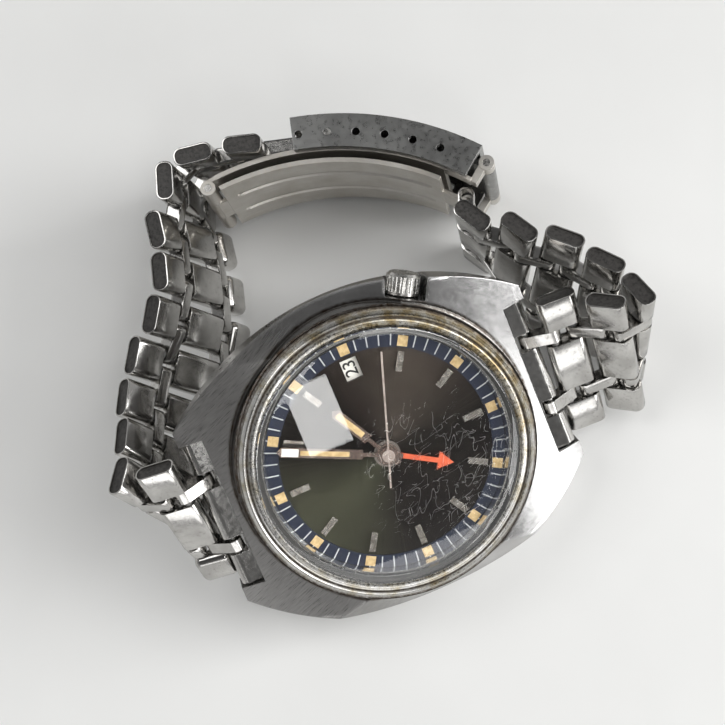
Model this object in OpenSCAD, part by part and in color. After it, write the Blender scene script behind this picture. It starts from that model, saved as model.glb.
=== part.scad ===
// Automatic watch with four hands, a date and a steel bracelet with a fold-over clasp.
// The watch lies on a table as it was put down: the case leans and the bracelet stands on edge.
// Watch directions: x towards 3 o'clock, y towards 12 o'clock, z out of the dial, zero on the dial's face.

/* [Lie] */
// turn of the leaning watch about its own x, y and then z, degrees
lean = [6.5, -29, 110.5];
// height of the dial's middle above the table
dial_height = 17.22; // [15:0.01:20]
// shift of the whole watch over the table along x
lie_x = 0.55; // [-30:0.1:30]
// shift of the whole watch over the table along y
lie_y = -11.23; // [-40:0.1:40]

/* [Case] */
// widest half width of the barrel-shaped case
case_half_w = 19.8; // [18:0.05:23]
// radius of the case's two curved sides seen from above
case_side_r = 33.8; // [26:0.5:45]
// distance from the middle to the tip of the lugs
lug_reach = 22.3; // [20:0.1:25]
// distance from the middle to the straight wall that the end links meet
lug_wall = 19.35; // [18:0.05:20]
// play of the end links between the lugs, both sides together
lug_play = 0.3; // [0.1:0.05:0.5]
// height of the case's top beside the crystal ring
case_top = 1.2; // [0.5:0.1:2]
// depth of the case's flat underside below the dial's face
case_bottom = 8.6; // [6:0.1:9]
// height of the case back below the case's underside
back_h = 0.9; // [0.6:0.1:1.5]
// radius of the long curve of the case's top from lug to lug
case_curve_r = 62; // [45:1:90]
// radius of the curve of the case's flanks from side to side
case_cross_r = 28; // [24:0.5:60]
// height at which the curve of the flanks would meet the watch's axis
flank_top = 5.8; // [3:0.1:8]
// radius of the upright wall below the crystal ring, at its foot
wall_foot_r = 18.4; // [18:0.1:19]
// radius of the same wall at its top
wall_top_r = 18.1; // [17.8:0.1:18.6]
// how far the case's sides lean inward from the edge to the underside
side_taper = 1.2; // [0.5:0.1:2]
// depth of the edge of the case's sides below the dial's face
side_edge = 3.6; // [3:0.1:5]
// height of the bevel around the case's lower edge
case_bevel = 1.4; // [0.4:0.1:2.5]
// radius of the bore that takes the movement
case_bore_r = 14.8; // [14:0.05:15.5]
// height above the dial's face of the seat for the crystal's seal
seat_top = 0.9; // [0.5:0.1:1.2]

/* [Crystal] */
// outer radius of the crystal's upright wall
crystal_r = 15.7; // [15:0.05:16.5]
// thickness of the crystal
crystal_wall = 1.0; // [0.6:0.1:1.6]
// height of the crystal's edge above the dial's face
crystal_edge = 2.9; // [2:0.1:4]
// height of the middle of the dome above the dial's face
crystal_top = 4.2; // [3:0.1:6]
// outer radius of the crystal ring
ring_r = 17.8; // [17:0.1:19]
// height of the crystal ring's top above the dial's face
ring_top = 2.5; // [2:0.1:3]
// height of the collar on the case that the crystal ring snaps over
collar_h = 0.7; // [0.4:0.1:1]
// radius of the collar on the case
collar_r = 16.6; // [16:0.1:17.2]

/* [Dial and hands] */
// play of the dial and the case back in the case's bore
dial_play = 0.2; // [0.1:0.05:0.3]
// thickness of the dial
dial_t = 0.4; // [0.3:0.1:0.6]
// radius of the hole in the dial for the hand tubes
dial_hole_r = 1.45; // [1.2:0.05:1.8]
// width of the printed minute ring
minute_ring_w = 1.55; // [1.2:0.05:2]
// thickness of the minute ring
minute_ring_t = 0.1; // [0.1:0.05:0.2]
// width of the bright ring between the minute ring and the case's bore
bright_ring_w = 0.45; // [0.3:0.05:0.6]
// distance from the middle to the lume plots
plot_at = 13.5; // [13:0.05:13.8]
// side of one square lume plot
plot_w = 1.2; // [0.8:0.1:1.6]
// length of one baton hour marker
baton_l = 2.4; // [1.5:0.1:3]
// width of one baton hour marker
baton_w = 0.75; // [0.4:0.05:1]
// distance from the middle to the outer end of the batons
baton_end = 12.3; // [11:0.1:12.5]
// height of a baton above the dial
baton_h = 0.3; // [0.2:0.05:0.4]
// distance from the middle to the date window
date_at = 11; // [10:0.1:11.5]
// size of the date window, along and across the dial's radius
date_size = [2.6, 2];
// thickness of one hand
hand_t = 0.14; // [0.1:0.01:0.2]
// heights of the 24-hour, hour, minute and seconds hands above the dial
hand_z = [0.6, 0.95, 1.3, 1.7];
// length of the 24-hour hand to its arrow's tip
day_hand_l = 8.1; // [7:0.1:10]
// length of the hour hand
hour_hand_l = 8.6; // [7:0.1:10]
// length of the minute hand
minute_hand_l = 13.2; // [11:0.1:14]
// length of the seconds hand in front of the middle
second_hand_l = 12.6; // [11:0.1:14]
// length of the seconds hand's tail
second_tail = 3.9; // [2:0.1:5]
// angles of the 24-hour, hour, minute and seconds hands clockwise from 12
hand_angle = [212, 62, 26, 108];

/* [Movement] */
// radius of the main plate
plate_r = 12.85; // [12:0.05:13]
// depth of the main plate's upper face below the dial's face
plate_top = 0.9; // [0.8:0.05:1.2]
// depth of the main plate's lower face below the dial's face
plate_low = 2.7; // [2.4:0.1:3]
// depth of the stem's middle below the dial's face
stem_depth = 2.8; // [2.4:0.1:3.2]
// radius of the stem
stem_r = 0.5; // [0.4:0.05:0.7]
// place of the barrel's arbor on the plate
barrel_at = [3.0, 4.8];
// place of the third wheel's arbor on the plate
third_at = [-4.6, 1.2];
// place of the escape wheel's arbor on the plate
escape_at = [-3.3, -3.4];
// place of the pallet fork's arbor on the plate
pallet_at = [-4.9, -6.5];
// place of the balance staff on the plate
balance_at = [0.6, -8.3];
// radius of the big wheels to the tips of their teeth
wheel_r = 3.9; // [3:0.1:4.2]
// radius of the barrel to the tips of its teeth
barrel_r = 4.65; // [4:0.05:5]
// radius of the balance wheel
balance_r = 3.4; // [3:0.1:4]
// depth of the train bridge's lower face below the dial's face
bridge_depth = 5.75; // [5.6:0.05:6]
// thickness of the train bridge and of the balance cock
bridge_t = 0.4; // [0.3:0.05:0.6]
// radius of the rotor
rotor_r = 12.6; // [11:0.1:13]
// thickness of the rotor's rim
rotor_t = 0.6; // [0.4:0.1:0.8]

/* [Crown] */
// angle of the crown clockwise from 3 o'clock
crown_angle = 29; // [20:1:40]
// radius of the crown
crown_r = 2.05; // [1.5:0.05:3]
// length of the crown
crown_l = 2.5; // [2:0.1:3.5]
// distance from the middle of the watch to the crown's inner face
crown_from = 18.6; // [18:0.1:21]
// number of grooves around the crown
crown_grooves = 26; // [12:1:40]

/* [Bracelet] */
// width of the bracelet
strap_w = 19; // [16:0.1:22]
// width of an outer block
outer_w = 4; // [3:0.1:5]
// width of the slot that a connector bar sits in
slot_w = 2.2; // [1.8:0.1:2.5]
// width of a connector bar
bar_w = 1.5; // [1.2:0.1:1.9]
// thickness of a block
block_t = 2.3; // [2:0.1:2.6]
// thickness of a connector bar
bar_t = 2; // [1.8:0.1:2.2]
// distance between the two pins of one row
row_step = 2.6; // [2.4:0.1:3]
// distance between the pins of two neighbouring rows
bar_step = 3.2; // [3:0.1:3.5]
// radius of the bracelet's pins
pin_r = 0.45; // [0.35:0.05:0.5]
// depth of the recess in an end cap
cap_recess = 0.25; // [0.1:0.05:0.4]
// width of the rim around the recess in an end cap
cap_rim = 0.2; // [0.1:0.05:0.5]
// distance from the middle of the watch to the end link's pin
end_pin_y = 20.9; // [20:0.05:21.5]
// depth of the end link's pin below the dial's face
end_pin_depth = 4.2; // [3.5:0.1:5]

/* [Clasp] */
// radius of the line of adjustment holes in the clasp cover
hole_line_r = 35.5; // [30:0.5:50]
// distance between two adjustment holes
hole_step = 3.55; // [3:0.05:4]
// distance from the bracelet's side to the side of the clasp cover
cover_side = 1; // [0.5:0.1:2]
// wall of the clasp cover
cover_wall = 0.8; // [0.5:0.1:1]
// height of the cover's top above the line of holes
cover_up = 2.3; // [2:0.1:3]
// depth of the cover's side walls below the line of holes
cover_down = 1.9; // [1.5:0.1:2.2]
// angles of the cover's two ends about the clasp's centre
cover_ends = [-25, 12];
// thickness of a clasp leaf
leaf_t = 0.6; // [0.4:0.1:0.8]
// distance from the bracelet's side to the side of a clasp leaf
leaf_side = 2; // [1.9:0.1:3]
// depth of the upper leaf's inner face below the line of holes
upper_leaf_drop = 2.1; // [2:0.1:2.3]
// gap between the two folded leaves
leaf_gap = 0.9; // [0.7:0.1:1]
// half width of the lower leaf's middle knuckle with its gaps
leaf_knuckle = 3; // [2:0.1:5]
// height of the hinge between cover and upper leaf above the line of holes
cover_hinge_up = 0.9; // [0.8:0.1:1.1]
// angle of the hinge that joins the two leaves
leaf_hinge_angle = 32; // [30:1:45]
// angle of the hinge between the cover and the upper leaf
cover_hinge_angle = -27; // [-30:0.5:-25]
// angle of the lower leaf's end tube
end_tube_angle = -26; // [-30:0.5:-25]
// angle from the end tube to the place where the leaves reach their full width
leaf_from = 6; // [3:0.5:8]
// angle between the leaves' full-width ends and the hinge that joins them
leaf_edge = 2.3; // [2.2:0.1:3]
// half length of the lower leaf's end tube
end_tube_half = 2.4; // [2:0.1:3.2]
// half length of the cover's own hinge knuckle
cover_knuckle = 5.4; // [4:0.1:6]
// how far a tongue or leg stays inside the plate or tube that it runs into
lap = 0.06; // [0.02:0.01:0.1]
// height of the middle of the end tube above the lower leaf's inner face
end_tube_up = 0.3; // [0.2:0.1:0.4]
// radius of a clasp hinge tube
tube_r = 0.95; // [0.8:0.05:1.2]
// length of the two bars between the bracelet and the clasp's spring bar
clasp_bar_step = 9; // [8:0.5:11]

/* [Clearances] */
// gap around a part that is set in a bore and stays still
set_gap = 0.03; // [0.01:0.01:0.1]
// radial gap around a shaft that turns
run_gap = 0.06; // [0.03:0.01:0.1]
// radial gap in the worn eyes of the bracelet's connector bars
worn_gap = 0.3; // [0.1:0.05:0.35]
// gap between neighbouring hinge knuckles
knuckle_gap = 0.12; // [0.05:0.01:0.2]

/* [Hidden] */
$fn = 96;
// fold, twist and side turn at each joint from the case to the clasp, 12 o'clock side
bends_12 = [[-19, -21, 3], [-113, -21, -3], [10, -5, -3], [-6, -4, -3], [-11, 4, -3], [-2, 12, -3],
  [16, 6, -3], [7, 2, -3], [-10, 13, 1], [-83, 5.5, -3], [-7.5, -1, 2.5]];
// the same, 6 o'clock side
bends_6 = [[0, -18, -3], [-38, -13, -3], [144, -15, 3], [25, -4, 2], [7, -5.5, 1], [-17.5, 11, 2.5],
  [0.5, 14.5, 2]];
// fold, twist and side turn between the last row and the clasp
clasp_bend = [-3, -6, 1];
lug_gap = strap_w + lug_play;
cover_half_w = strap_w / 2 - cover_side;
leaf_w = strap_w - 2 * leaf_side;
// radii that follow the bore which takes the movement
dial_r = case_bore_r - dial_play;
bright_ring_r = case_bore_r - bright_ring_w;
minute_ring_r = bright_ring_r - 0.05 - minute_ring_w;
ring_seat_r = case_bore_r - 1.4;
dial_foot_at = case_bore_r - 0.7;
back_seal_r = case_bore_r + 0.7;
back_r = case_bore_r + 1.7;
// which adjustment hole the spring bar sits in, counted from the bracelet's side
bar_hole = 2;
hole_count = 6;
// angle of the spring bar about the clasp's centre
bar_angle = 5;
hole_angle_step = hole_step / hole_line_r * 180 / PI;
// radii of the leaves' inner faces, of the end tube's middle and of the two hinges
upper_leaf_r = hole_line_r - upper_leaf_drop;
lower_leaf_r = upper_leaf_r - leaf_gap - leaf_t;
end_tube_at = lower_leaf_r + end_tube_up;
cover_hinge_at = hole_line_r + cover_hinge_up;
leaf_hinge_at = (lower_leaf_r + upper_leaf_r + leaf_t) / 2;
side_shift = case_side_r - case_half_w;
far = 100;
// the rotor hangs with its weight at the case's low side
rotor_angle = atan2(-cos(lean[1]) * sin(lean[0]), sin(lean[1]));
// distance of the connector bars from the bracelet's middle line
bar_at = strap_w / 2 - outer_w - slot_w / 2;
crown_dir = [cos(crown_angle), -sin(crown_angle), 0];

// Frames of the lying watch and of the bracelet's pins
function shift(v) = [[1, 0, 0, v[0]], [0, 1, 0, v[1]], [0, 0, 1, v[2]], [0, 0, 0, 1]];
function turn_x(a) = [[1, 0, 0, 0], [0, cos(a), -sin(a), 0], [0, sin(a), cos(a), 0], [0, 0, 0, 1]];
function turn_y(a) = [[cos(a), 0, sin(a), 0], [0, 1, 0, 0], [-sin(a), 0, cos(a), 0], [0, 0, 0, 1]];
function turn_z(a) = [[cos(a), -sin(a), 0, 0], [sin(a), cos(a), 0, 0], [0, 0, 1, 0], [0, 0, 0, 1]];
function turn(a) = turn_z(a[2]) * turn_y(a[1]) * turn_x(a[0]);
watch_frame = shift([lie_x, lie_y, dial_height]) * turn(lean);
function lug_frame(s) = watch_frame * shift([0, s * end_pin_y, -end_pin_depth]);
function bends(s) = s > 0 ? bends_12 : bends_6;
// half of a joint, from a row to the middle of its connector bars and from there to the next row
function half_out(b) = turn_x(b[0] / 2) * turn_z(b[2] / 2) * turn_y(b[1] / 2);
function half_in(b) = turn_y(b[1] / 2) * turn_z(b[2] / 2) * turn_x(b[0] / 2);
// two equal bars draw twisted rows closer together: the distance that is left between their pins
function bar_reach(b) = let (d = bar_at * norm(half_out(b) * half_in(b) * [1, 0, 0, 0] - [1, 0, 0, 0]))
  sqrt(bar_step * bar_step - d * d);
// frame of the pin at which row i hangs from the row before it
function in_pin(s, i) = let (b = bends(s)[i - 1])
  out_pin(s, i - 1) * half_out(b) * shift([0, s * bar_reach(b), 0]) * half_in(b);
// frame of the pin at the far side of row i; row 0 is the end link
function out_pin(s, i) = i == 0 ? lug_frame(s) : in_pin(s, i) * shift([0, s * row_step, 0]);
spring_bar_frame = out_pin(1, 11) * half_out(clasp_bend) * shift([0, clasp_bar_step, 0])
  * half_in(clasp_bend);
clasp_frame = spring_bar_frame * turn([-bar_angle, 0, 0])
  * shift([0, sin(bar_angle) * hole_line_r, -cos(bar_angle) * hole_line_r]);
// point on an arc about the clasp's centre
function arc_point(a, r) = [0, -sin(a) * r, cos(a) * r];
end_tube_frame = clasp_frame * shift(arc_point(end_tube_angle, end_tube_at));
function column(m, j) = [m[0][j], m[1][j], m[2][j]];
function unit(v) = v / norm(v);
function frame_of(x, y, z, o) = [[x[0], y[0], z[0], o[0]], [x[1], y[1], z[1], o[1]],
  [x[2], y[2], z[2], o[2]], [0, 0, 0, 1]];
// frame midway between two pins at the distance x along both of them, with its y from one to the other
function between(m1, m2, x) = let (p1 = column(m1, 3) + x * column(m1, 0),
  p2 = column(m2, 3) + x * column(m2, 0), y = unit(p2 - p1),
  z = unit(cross(column(m1, 0) + column(m2, 0), y))) frame_of(cross(y, z), y, z, (p1 + p2) / 2);

module in_watch() {
  multmatrix(watch_frame) children();
}

module disc(r, z0, z1) {
  translate([0, 0, z0]) cylinder(h = z1 - z0, r = r);
}

module tube(r0, r1, z0, z1) {
  difference() {
    disc(r1, z0, z1);
    disc(r0, z0 - 1, z1 + 1);
  }
}

// rod along x, centred
module rod(r, w) {
  rotate([0, 90, 0]) cylinder(h = w, r = r, center = true);
}

// Case
module case_outline(grow = 0) {
  intersection() {
    translate([-side_shift, 0]) circle(r = case_side_r + grow, $fn = 200);
    translate([side_shift, 0]) circle(r = case_side_r + grow, $fn = 200);
    square([far, 2 * lug_reach], center = true);
  }
}

module crown_axis(at) {
  translate(crown_dir * at + [0, 0, -stem_depth]) rotate([0, 0, -crown_angle]) rotate([0, 90, 0]) children();
}

module side_cone() {
  cylinder(h = far, r1 = case_side_r - side_taper, r2 = case_side_r - side_taper
    + far * side_taper / (case_bottom - side_edge), $fn = 200);
}

module case_shell() {
  translate([0, 0, -2.6]) cylinder(h = 2.6 + case_top, r1 = wall_foot_r, r2 = wall_top_r);
  intersection() {
    translate([0, 0, -case_bottom]) linear_extrude(case_bottom + case_top) case_outline();
    translate([0, 0, case_top - case_curve_r]) rod(case_curve_r, far);
    translate([0, 0, flank_top - case_cross_r]) rotate([0, 0, 90]) rod(case_cross_r, far);
    translate([-side_shift, 0, -case_bottom]) side_cone();
    translate([side_shift, 0, -case_bottom]) side_cone();
    translate([0, 0, -case_bottom])
      cylinder(h = far, r1 = lug_reach + 1.2 - case_bevel, r2 = lug_reach + far);
  }
}

module case_body() {
  color("silver") in_watch() difference() {
    union() {
      case_shell();
      disc(collar_r, seat_top, case_top + collar_h);
    }
    disc(case_bore_r, -far, seat_top + 1);
    disc(crystal_r + set_gap, seat_top, far);
    tube(back_seal_r - 0.35, back_seal_r + 0.35, -case_bottom - 1, -case_bottom + 0.35);
    for (s = [-1, 1]) {
      translate([-lug_gap / 2, s > 0 ? lug_wall : -lug_wall - far, -far]) cube([lug_gap, far, 2 * far]);
      translate([0, s * end_pin_y, -end_pin_depth]) rod(pin_r + set_gap, lug_gap + 2.4);
    }
    crown_axis(10) cylinder(h = 20, r = 1.1 + set_gap);
    crown_axis(crown_from - 0.15) cylinder(h = 10, r = crown_r + 0.35);
    crown_axis(crown_from - 0.15) translate([-10, -crown_r - 0.35, 0]) cube([10, 2 * crown_r + 0.7, 10]);
  }
}

module crystal_ring() {
  color("silver") in_watch() rotate_extrude() polygon([[crystal_r + set_gap, case_top + collar_h + 0.05],
    [collar_r + set_gap, case_top + collar_h + 0.05], [collar_r + set_gap, case_top + 0.02],
    [ring_r, case_top + 0.02], [ring_r, case_top + 0.5], [ring_r - 0.9, ring_top],
    [crystal_r + set_gap, ring_top]]);
}

module crystal() {
  dome_r = (crystal_r * crystal_r + pow(crystal_top - crystal_edge, 2)) / (2 * (crystal_top - crystal_edge));
  color([0.8, 0.9, 1, 0.3]) in_watch() difference() {
    intersection() {
      disc(crystal_r, seat_top + 0.25, far);
      translate([0, 0, crystal_top - dome_r]) sphere(r = dome_r, $fn = 200);
    }
    intersection() {
      disc(crystal_r - crystal_wall, 0, far);
      translate([0, 0, crystal_top - crystal_wall - dome_r]) sphere(r = dome_r, $fn = 200);
    }
  }
}

module crystal_gasket() {
  color("white") in_watch() tube(case_bore_r + 0.05, crystal_r - 0.02, seat_top, seat_top + 0.25);
}

module bright_ring() {
  color("gainsboro") in_watch() rotate_extrude() polygon([[bright_ring_r, 0.01],
    [case_bore_r - set_gap, 0.01], [case_bore_r - set_gap, seat_top], [case_bore_r - 0.2, seat_top],
    [bright_ring_r, 0.25]]);
}

module case_back() {
  color("silver") in_watch() {
    disc(case_bore_r - set_gap, -case_bottom - 0.01, -case_bottom + 0.3);
    rotate_extrude() polygon([[0, -case_bottom - back_h], [back_r - 3.5, -case_bottom - back_h],
      [back_r - 1.9, -case_bottom - 0.6], [back_r - 0.2, -case_bottom - 0.5],
      [back_r, -case_bottom - 0.3], [back_r, -case_bottom - 0.01], [0, -case_bottom - 0.01]]);
  }
}

module case_back_gasket() {
  color("dimgray") in_watch() tube(back_seal_r - 0.3, back_seal_r + 0.3, -case_bottom,
    -case_bottom + 0.33);
}

// Crown and stem
module crown_tube() {
  color("silver") in_watch() difference() {
    crown_axis(14.7) cylinder(h = crown_from - 14.7 - 0.05, r = 1.1);
    crown_axis(14) cylinder(h = 10, r = 0.8);
  }
}

module crown_gasket() {
  color("black") in_watch() difference() {
    crown_axis(17.2) cylinder(h = 0.8, r = 0.8 - set_gap);
    crown_axis(17) cylinder(h = 2, r = stem_r + 0.02);
  }
}

module crown() {
  color("silver") in_watch() difference() {
    crown_axis(crown_from) union() {
      cylinder(h = crown_l - 0.3, r = crown_r);
      translate([0, 0, crown_l - 0.31]) cylinder(h = 0.31, r1 = crown_r - 0.1, r2 = crown_r - 0.35);
    }
    crown_axis(crown_from) for (i = [1 : crown_grooves])
      rotate([0, 0, i * 360 / crown_grooves]) translate([crown_r + 0.08, 0, 0.3])
        cylinder(h = crown_l, r = 0.19, $fn = 24);
    crown_axis(crown_from - 1) cylinder(h = 1 + crown_l / 2, r = stem_r + set_gap);
  }
}

module stem() {
  color("gray") in_watch() union() {
    crown_axis(8) cylinder(h = crown_from + crown_l / 2 - 0.05 - 8, r = stem_r);
    crown_axis(8.3) cylinder(h = 1.4, r = stem_r + 0.2);
  }
}

// Dial
module at_hour(h, r) {
  rotate([0, 0, -30 * h]) translate([0, r, 0]) children();
}

module date_hole(grow, z0, z1) {
  translate([date_at - date_size[0] / 2 - grow, -date_size[1] / 2 - grow, z0])
    cube([date_size[0] + 2 * grow, date_size[1] + 2 * grow, z1 - z0]);
}

module dial() {
  color([0.12, 0.11, 0.1]) in_watch() {
    difference() {
      disc(dial_r, -dial_t, 0);
      disc(dial_hole_r, -1, 1);
      date_hole(0, -1, 1);
    }
    for (a = [80, 260]) rotate([0, 0, a]) translate([dial_foot_at, 0, -1.6])
      cylinder(h = 1.6 - dial_t + 0.05, r = 0.3);
  }
}

module minute_ring() {
  color([0.08, 0.1, 0.2]) in_watch() tube(minute_ring_r, bright_ring_r - 0.05, 0.005, minute_ring_t);
}

module lume_plots() {
  color("wheat") in_watch() for (h = [1 : 12]) at_hour(h, plot_at)
    translate([-plot_w / 2, -plot_w / 2, minute_ring_t]) cube([plot_w, plot_w, 0.08]);
}

module hour_markers() {
  color("silver") in_watch() for (h = [1, 2, 4, 5, 6, 7, 8, 9, 10, 11, 12]) at_hour(h, baton_end - baton_l)
    translate([-baton_w / 2, 0, 0]) cube([baton_w, baton_l, baton_h]);
}

// Hands, each on its own tube
module hand_place(i) {
  in_watch() rotate([0, 0, -hand_angle[i]]) children();
}

module day_hand() {
  color("orangered") hand_place(0) difference() {
    union() {
      tube(1.0, 1.25, -0.45, hand_z[0] + hand_t);
      translate([0, 0, hand_z[0]]) linear_extrude(hand_t) difference() {
        union() {
          circle(r = 1.6);
          translate([-0.3, 0]) square([0.6, day_hand_l - 1.8]);
          polygon([[-1.1, day_hand_l - 1.9], [1.1, day_hand_l - 1.9], [0, day_hand_l]]);
        }
        circle(r = 1.0);
      }
    }
    disc(1.0, -2, 2);
  }
}

module baton_hand(i, l, w, hub, hole, z_low) {
  hand_place(i) difference() {
    union() {
      disc(hole + 0.22, z_low, hand_z[i] + hand_t);
      translate([0, 0, hand_z[i]]) linear_extrude(hand_t) union() {
        circle(r = hub);
        translate([-0.25, -1.8]) square([0.5, 5]);
        polygon([[-w / 2, 3], [w / 2, 3], [w / 2, l - w / 2], [0, l], [-w / 2, l - w / 2]]);
      }
    }
    disc(hole, z_low - 1, 3);
  }
}

module hour_hand() {
  color("silver") baton_hand(1, hour_hand_l, 1.25, 1.3, 0.7, -0.6);
}

module minute_hand() {
  color("silver") baton_hand(2, minute_hand_l, 1.15, 1.0, 0.4, -0.7);
}

module second_hand() {
  color("whitesmoke") hand_place(3) {
    disc(0.32, hand_z[2] + 0.02, hand_z[3] + 0.35);
    translate([0, 0, hand_z[3]]) linear_extrude(hand_t) union() {
      circle(r = 0.75);
      translate([-0.11, -second_tail]) square([0.22, second_tail + second_hand_l]);
    }
  }
}

module date_disc() {
  color("white") in_watch() difference() {
    tube(ring_seat_r - 4.5, ring_seat_r, -0.75, -0.5);
    for (i = [1 : 31]) rotate([0, 0, i * 360 / 31]) translate([ring_seat_r - 4.65, 0, -1])
      cylinder(h = 1, r = 0.45, $fn = 24);
  }
}

// Movement
module movement_ring() {
  color("lightgray") in_watch() difference() {
    disc(case_bore_r - set_gap, -6.2, -dial_t - 0.01);
    disc(ring_seat_r + 0.2, -0.85, 0);
    disc(plate_r + set_gap, -7, 0);
    for (a = [80, 260]) rotate([0, 0, a]) translate([dial_foot_at, 0, -1.7])
      cylinder(h = 3, r = 0.3 + set_gap);
    crown_axis(10) cylinder(h = 10, r = 1.1 + set_gap);
  }
}

module at_each(list) {
  for (p = list) translate([p[0], p[1], 0]) children();
}

pillar_at = [[10.9, 2.6], [-9.6, 5.6], [-9.8, -3.4]];
screw_at = concat(pillar_at, [[6.2, -9.4]]);

module main_plate() {
  color("goldenrod") in_watch() difference() {
    disc(plate_r, -plate_low, -plate_top);
    disc(1.5, -5, 0);
    at_each([barrel_at, third_at, escape_at, pallet_at, balance_at])
      disc(0.25, -plate_low - 1, -plate_top - 0.5);
    at_each(screw_at) disc(0.45, -plate_low - 1, -plate_top - 0.4);
    crown_axis(7.6) cylinder(h = 10, r = stem_r + 0.35);
  }
}

module train_bridge() {
  color("lightgray") in_watch() difference() {
    union() {
      translate([0, 0, -bridge_depth - bridge_t]) linear_extrude(bridge_t) intersection() {
        circle(r = plate_r - 0.2);
        translate([-far, -4.4]) square([2 * far, far]);
      }
      at_each(pillar_at) disc(1.2, -bridge_depth - 0.1, -plate_low);
    }
    at_each([[0, 0], barrel_at, third_at, escape_at]) disc(0.25, -bridge_depth - bridge_t / 2, 0);
    at_each(pillar_at) disc(0.45, -7, 0);
  }
}

module wheel(r, teeth, t, hub) {
  step = 360 / teeth;
  linear_extrude(t) difference() {
    polygon([for (i = [0 : teeth - 1]) for (p = [[0.05, 0], [0.3, 1], [0.5, 1], [0.75, 0]])
      (r - 0.25 + 0.25 * p[1]) * [cos((i + p[0]) * step), sin((i + p[0]) * step)]]);
    for (a = [0 : 72 : 359]) rotate(a) translate([(r + hub) / 2 - 0.1, 0]) circle(r = (r - hub) * 0.3);
  }
}

module arbor(r, z0, z1) {
  disc(r, z0, z1);
  disc(0.19, -bridge_depth - bridge_t / 2 + 0.03, -plate_low + 0.6);
}

module barrel() {
  color("goldenrod") in_watch() at_each([barrel_at]) {
    translate([0, 0, -3.4]) wheel(barrel_r, 60, 0.4, 3.6);
    disc(4.3, -4.3, -3.01);
    arbor(0.7, -5.5, -3);
  }
}

module centre_wheel() {
  color("gold") in_watch() difference() {
    union() {
      translate([0, 0, -4.75]) wheel(wheel_r, 54, 0.2, 0.8);
      disc(0.72, -4.7, -3);
      disc(0.55, -4.7, -0.75);
      disc(0.38, -4.7, hand_z[2] - 0.02);
    }
    disc(0.25, -6, 3);
  }
}

module third_wheel() {
  color("gold") in_watch() at_each([third_at]) {
    translate([0, 0, -5.15]) wheel(wheel_r, 54, 0.2, 0.8);
    arbor(0.62, -5, -4.4);
  }
}

module fourth_wheel() {
  color("gold") in_watch() {
    translate([0, 0, -5.55]) wheel(wheel_r, 54, 0.2, 0.8);
    disc(0.62, -5.4, -4.85);
    disc(0.19, -bridge_depth - bridge_t / 2 + 0.03, hand_z[2]);
  }
}

module escape_wheel() {
  color("gold") in_watch() at_each([escape_at]) {
    translate([0, 0, -4.4]) wheel(2, 15, 0.2, 0.6);
    arbor(0.55, -5.6, -4.3);
  }
}

module pallet_fork() {
  color("silver") in_watch() at_each([pallet_at]) {
    translate([0, 0, -4.45]) linear_extrude(0.3) rotate(-22) union() {
      circle(r = 0.55);
      translate([-0.2, -0.25]) square([1.7, 0.5]);
      rotate(75) translate([-1.5, -0.22]) square([3, 0.44]);
    }
    disc(0.19, -5.5, -plate_low + 0.6);
  }
}

module balance_wheel() {
  color("gold") in_watch() at_each([balance_at]) {
    translate([0, 0, -4]) linear_extrude(0.5) union() {
      difference() {
        circle(r = balance_r);
        circle(r = balance_r - 0.5);
      }
      square([2 * balance_r - 0.4, 0.6], center = true);
      circle(r = 0.6);
    }
    disc(0.19, -bridge_depth - 0.1, -plate_low + 0.6);
  }
}

// flat spiral with six turns, each point on the rule radius = start + pitch * turns
module hairspring() {
  turns = 6;
  pitch = 0.24;
  w = 0.06;
  function at(a, d) = (0.5 + pitch * a / 360 + d) * [cos(a), sin(a)];
  color("steelblue") in_watch() at_each([balance_at]) {
    translate([0, 0, -3.4]) linear_extrude(0.15) union() {
      polygon(concat([for (a = [0 : 20 : 360 * turns]) at(a, w / 2)],
        [for (a = [360 * turns : -20 : 0]) at(a, -w / 2)]));
      difference() {
        circle(r = 0.52);
        circle(r = 0.22);
      }
    }
  }
}

module balance_cock() {
  foot = screw_at[3];
  color("lightgray") in_watch() difference() {
    union() {
      at_each([balance_at]) disc(1.6, -bridge_depth - bridge_t, -bridge_depth);
      at_each([foot]) disc(1.3, -bridge_depth - bridge_t, -bridge_depth);
      translate([balance_at[0], balance_at[1], -bridge_depth - bridge_t])
        rotate([0, 0, atan2(foot[1] - balance_at[1], foot[0] - balance_at[0])])
          translate([0, -0.9, 0]) cube([norm(foot - balance_at), 1.8, bridge_t]);
      at_each([foot]) disc(1.2, -bridge_depth - 0.1, -plate_low);
    }
    at_each([balance_at]) disc(0.25, -bridge_depth - bridge_t / 2, 0);
    at_each([foot]) disc(0.45, -7, 0);
  }
}

module bridge_screws() {
  color("steelblue") in_watch() at_each(screw_at) difference() {
    union() {
      disc(0.42, -bridge_depth - bridge_t, -plate_top - 0.45);
      disc(0.8, -bridge_depth - bridge_t - 0.25, -bridge_depth - bridge_t);
    }
    translate([-1, -0.1, -bridge_depth - bridge_t - 0.35]) cube([2, 0.2, 0.2]);
  }
}

module rotor_bearing() {
  color("gray") in_watch() {
    disc(1.3, -6.45, -bridge_depth - bridge_t);
    disc(0.6, -7.05, -6.4);
  }
}

module rotor() {
  color("lightgray") in_watch() rotate([0, 0, rotor_angle]) difference() {
    union() {
      translate([0, 0, -7]) linear_extrude(0.3) intersection() {
        circle(r = rotor_r - 0.1);
        translate([0.2, -far]) square([far, 2 * far]);
      }
      translate([0, 0, -7]) linear_extrude(rotor_t - 0.1) intersection() {
        difference() {
          circle(r = rotor_r);
          circle(r = rotor_r - 3);
        }
        translate([0.6, -far]) square([far, 2 * far]);
      }
      disc(2.2, -7, -6.5);
    }
    disc(0.6 + run_gap, -8, 0);
  }
}

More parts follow.
